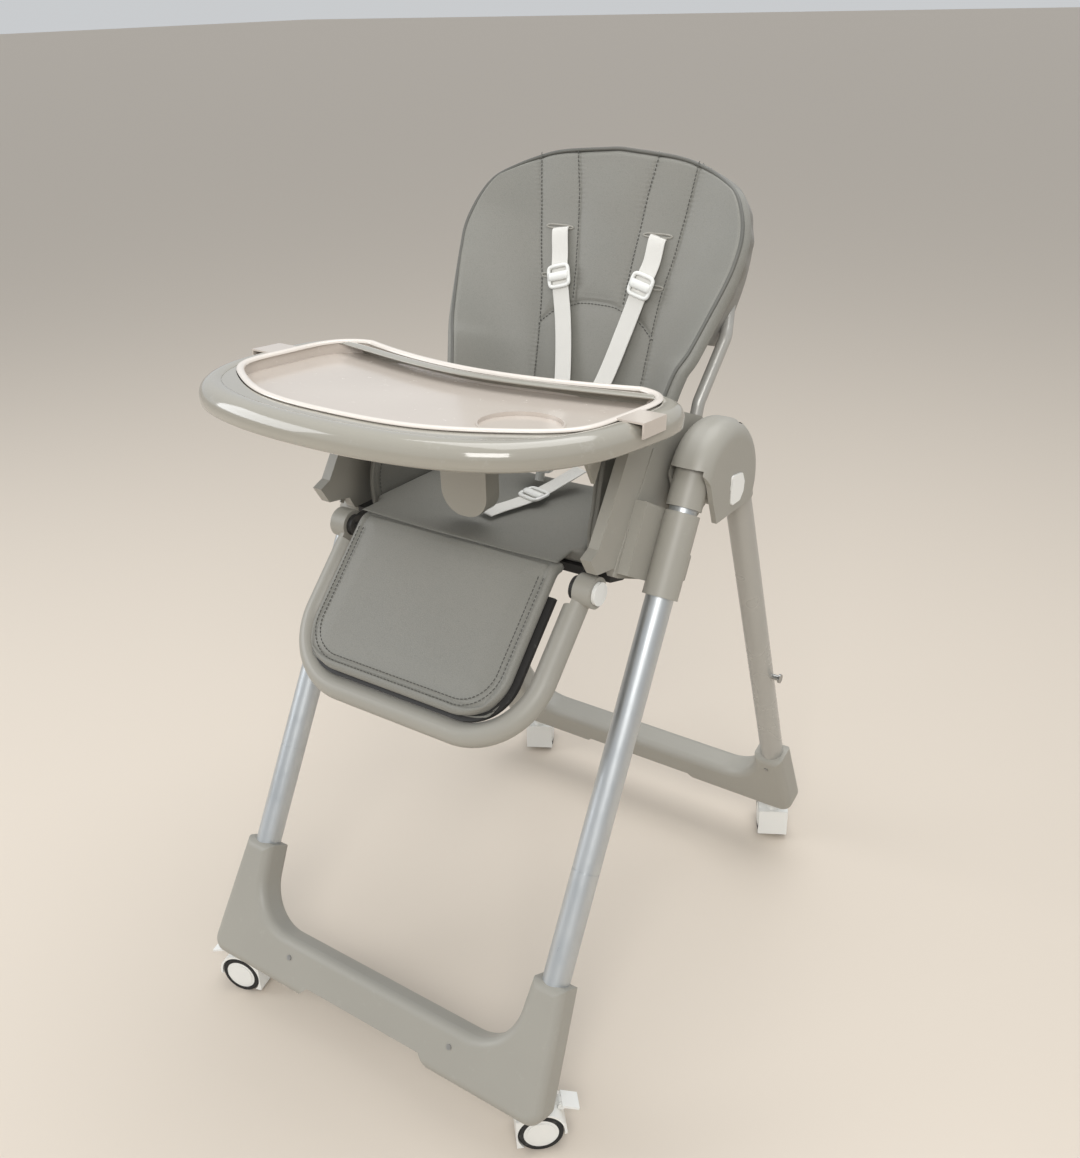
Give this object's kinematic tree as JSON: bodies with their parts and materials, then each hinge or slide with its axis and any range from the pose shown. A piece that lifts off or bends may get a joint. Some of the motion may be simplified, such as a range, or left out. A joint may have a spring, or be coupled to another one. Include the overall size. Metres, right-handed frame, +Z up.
{
  "type": "baby high chair",
  "caption": "Folding baby high chair with a height-adjustable reclining padded seat, swinging legrest, sliding tray with lift-out insert and braked swivel casters.",
  "frame": {"origin": "centre of the bounding box on the floor, under the middle of the chair", "axes": "+Z up; the chair faces -Y; +X is the side of the child's left hand"},
  "size_m": [0.5854, 0.7982, 1.0722],
  "materials": {
    "taupe_plastic": "satin moulded",
    "tray_plastic": "glossy moulded",
    "insert_plastic": "semi-gloss moulded",
    "white_plastic": "satin",
    "black_plastic": "matt",
    "aluminium_tube": "satin anodised",
    "painted_tube": "satin powder coat",
    "steel": "bright",
    "tyre_rubber": "matt",
    "grey_leatherette": "soft grained",
    "white_webbing": "woven"
  },
  "bodies": {
    "front_frame": {"front_base_cover": "taupe_plastic", "front_cross_tube": "steel", "front_leg_tube_left": "aluminium_tube", "front_leg_tube_right": "aluminium_tube", "leg_socket_left": "taupe_plastic", "leg_socket_right": "taupe_plastic", "fold_pivot_pins": "steel", "front_frame_screws": "steel"},
    "rear_frame": {"rear_base_cover": "taupe_plastic", "rear_cross_tube": "steel", "rear_leg_tube_left": "painted_tube", "rear_leg_tube_right": "painted_tube", "hinge_cover_left": "taupe_plastic", "hinge_cover_right": "taupe_plastic", "tray_hanger_pins": "steel", "rear_frame_screws": "steel"},
    "seat": {"seat_shell": "black_plastic", "side_panel_left": "taupe_plastic", "side_panel_right": "taupe_plastic", "slide_sleeve_left": "taupe_plastic", "slide_sleeve_right": "taupe_plastic", "seat_pad": "grey_leatherette", "seat_pivot_pins": "steel", "lap_strap": "white_webbing", "harness_buckle": "white_plastic"},
    "legrest": {"legrest_frame": "taupe_plastic", "legrest_panel": "black_plastic", "legrest_pad": "grey_leatherette"},
    "backrest": {"back_shell": "black_plastic", "back_frame_tube": "painted_tube", "back_pad": "grey_leatherette", "shoulder_straps": "white_webbing", "strap_adjusters": "white_plastic"},
    "tray": {"tray_base": "tray_plastic", "crotch_post": "tray_plastic"},
    "tray_release": {"tray_release": "tray_plastic"},
    "tray_insert": {"tray_insert": "insert_plastic"},
    "recline_handle": {"recline_handle": "taupe_plastic"},
    "fold_button_left": {"fold_button_left": "white_plastic"},
    "fold_button_right": {"fold_button_right": "white_plastic"},
    "height_lever_left": {"height_lever_left": "taupe_plastic"},
    "height_lever_right": {"height_lever_right": "taupe_plastic"},
    "legrest_button_left": {"legrest_button_left": "white_plastic"},
    "legrest_button_right": {"legrest_button_right": "white_plastic"},
    "swivel_front_left": {"caster_hood_front_left": "white_plastic"},
    "wheels_front_left": {"caster_hubs_front_left": "white_plastic", "caster_tyres_front_left": "tyre_rubber"},
    "brake_front_left": {"caster_brake_front_left": "white_plastic"},
    "swivel_front_right": {"caster_hood_front_right": "white_plastic"},
    "wheels_front_right": {"caster_hubs_front_right": "white_plastic", "caster_tyres_front_right": "tyre_rubber"},
    "brake_front_right": {"caster_brake_front_right": "white_plastic"},
    "swivel_rear_left": {"caster_hood_rear_left": "white_plastic"},
    "wheels_rear_left": {"caster_hubs_rear_left": "white_plastic", "caster_tyres_rear_left": "tyre_rubber"},
    "brake_rear_left": {"caster_brake_rear_left": "white_plastic"},
    "swivel_rear_right": {"caster_hood_rear_right": "white_plastic"},
    "wheels_rear_right": {"caster_hubs_rear_right": "white_plastic", "caster_tyres_rear_right": "tyre_rubber"},
    "brake_rear_right": {"caster_brake_rear_right": "white_plastic"}
  },
  "joints": [
    {"name": "fold", "type": "hinge", "parent": "front_frame", "child": "rear_frame", "pos_m": [0, 0.0455, 0.722], "axis": [1, 0, 0], "range_deg": [-40, 0]},
    {"name": "seat_height", "type": "slide", "parent": "front_frame", "child": "seat", "axis": [0, -0.4915, -0.8709], "range_m": [0, 0.24]},
    {"name": "recline", "type": "hinge", "parent": "seat", "child": "backrest", "pos_m": [0, 0.08274, 0.70878], "axis": [-1, 0, 0], "range_deg": [0, 34]},
    {"name": "legrest_swing", "type": "hinge", "parent": "seat", "child": "legrest", "pos_m": [0, -0.14113, 0.641], "axis": [-1, 0, 0], "range_deg": [0, 44]},
    {"name": "tray_slide", "type": "slide", "parent": "seat", "child": "tray", "axis": [0, -0.9972, 0.075], "range_m": [0, 0.32]},
    {"name": "insert_lift", "type": "slide", "parent": "tray", "child": "tray_insert", "axis": [0, 0.075, 0.9972], "range_m": [0, 0.06]},
    {"name": "release_pull", "type": "slide", "parent": "tray", "child": "tray_release", "axis": [0, -0.9972, 0.075], "range_m": [0, 0.008], "stiffness_N_per_m": 900},
    {"name": "recline_handle_pull", "type": "slide", "parent": "backrest", "child": "recline_handle", "axis": [0, 0.2924, 0.9563], "range_m": [0, 0.008], "stiffness_N_per_m": 900},
    {"name": "fold_button_press_left", "type": "slide", "parent": "rear_frame", "child": "fold_button_left", "axis": [-1, 0, 0], "range_m": [0, 0.005], "stiffness_N_per_m": 1200},
    {"name": "height_lever_squeeze_left", "type": "slide", "parent": "seat", "child": "height_lever_left", "axis": [0, 0.4915, 0.8709], "range_m": [0, 0.008], "stiffness_N_per_m": 900},
    {"name": "legrest_button_press_left", "type": "slide", "parent": "legrest", "child": "legrest_button_left", "axis": [-1, 0, 0], "range_m": [0, 0.0035], "stiffness_N_per_m": 1000},
    {"name": "fold_button_press_right", "type": "slide", "parent": "rear_frame", "child": "fold_button_right", "axis": [1, 0, 0], "range_m": [0, 0.005], "stiffness_N_per_m": 1200},
    {"name": "height_lever_squeeze_right", "type": "slide", "parent": "seat", "child": "height_lever_right", "axis": [0, 0.4915, 0.8709], "range_m": [0, 0.008], "stiffness_N_per_m": 900},
    {"name": "legrest_button_press_right", "type": "slide", "parent": "legrest", "child": "legrest_button_right", "axis": [1, 0, 0], "range_m": [0, 0.0035], "stiffness_N_per_m": 1000},
    {"name": "swivel_front_left", "type": "hinge", "parent": "front_frame", "child": "swivel_front_left", "pos_m": [0.232, -0.36113, 0], "axis": [0, 0, 1], "continuous": true},
    {"name": "roll_front_left", "type": "hinge", "parent": "swivel_front_left", "child": "wheels_front_left", "pos_m": [0.24389, -0.35042, 0.0275], "axis": [-0.6691, 0.7431, 0], "continuous": true},
    {"name": "brake_front_left", "type": "hinge", "parent": "swivel_front_left", "child": "brake_front_left", "pos_m": [0.26416, -0.33217, 0.05206], "axis": [-0.6691, 0.7431, 0], "range_deg": [0, 14]},
    {"name": "swivel_front_right", "type": "hinge", "parent": "front_frame", "child": "swivel_front_right", "pos_m": [-0.232, -0.36113, 0], "axis": [0, 0, 1], "continuous": true},
    {"name": "roll_front_right", "type": "hinge", "parent": "swivel_front_right", "child": "wheels_front_right", "pos_m": [-0.24738, -0.36554, 0.0275], "axis": [0.2756, -0.9613, 0], "continuous": true},
    {"name": "brake_front_right", "type": "hinge", "parent": "swivel_front_right", "child": "brake_front_right", "pos_m": [-0.2736, -0.37305, 0.05206], "axis": [0.2756, -0.9613, 0], "range_deg": [0, 14]},
    {"name": "swivel_rear_left", "type": "hinge", "parent": "rear_frame", "child": "swivel_rear_left", "pos_m": [0.232, 0.33686, 0], "axis": [0, 0, 1], "continuous": true},
    {"name": "roll_rear_left", "type": "hinge", "parent": "swivel_rear_left", "child": "wheels_rear_left", "pos_m": [0.22424, 0.35085, 0.0275], "axis": [-0.8746, -0.4848, 0], "continuous": true},
    {"name": "brake_rear_left", "type": "hinge", "parent": "swivel_rear_left", "child": "brake_rear_left", "pos_m": [0.21102, 0.37471, 0.05206], "axis": [-0.8746, -0.4848, 0], "range_deg": [0, 14]},
    {"name": "swivel_rear_right", "type": "hinge", "parent": "rear_frame", "child": "swivel_rear_right", "pos_m": [-0.232, 0.33686, 0], "axis": [0, 0, 1], "continuous": true},
    {"name": "roll_rear_right", "type": "hinge", "parent": "swivel_rear_right", "child": "wheels_rear_right", "pos_m": [-0.23976, 0.35085, 0.0275], "axis": [-0.8746, -0.4848, 0], "continuous": true},
    {"name": "brake_rear_right", "type": "hinge", "parent": "swivel_rear_right", "child": "brake_rear_right", "pos_m": [-0.25298, 0.37471, 0.05206], "axis": [-0.8746, -0.4848, 0], "range_deg": [0, 14]}
  ]
}
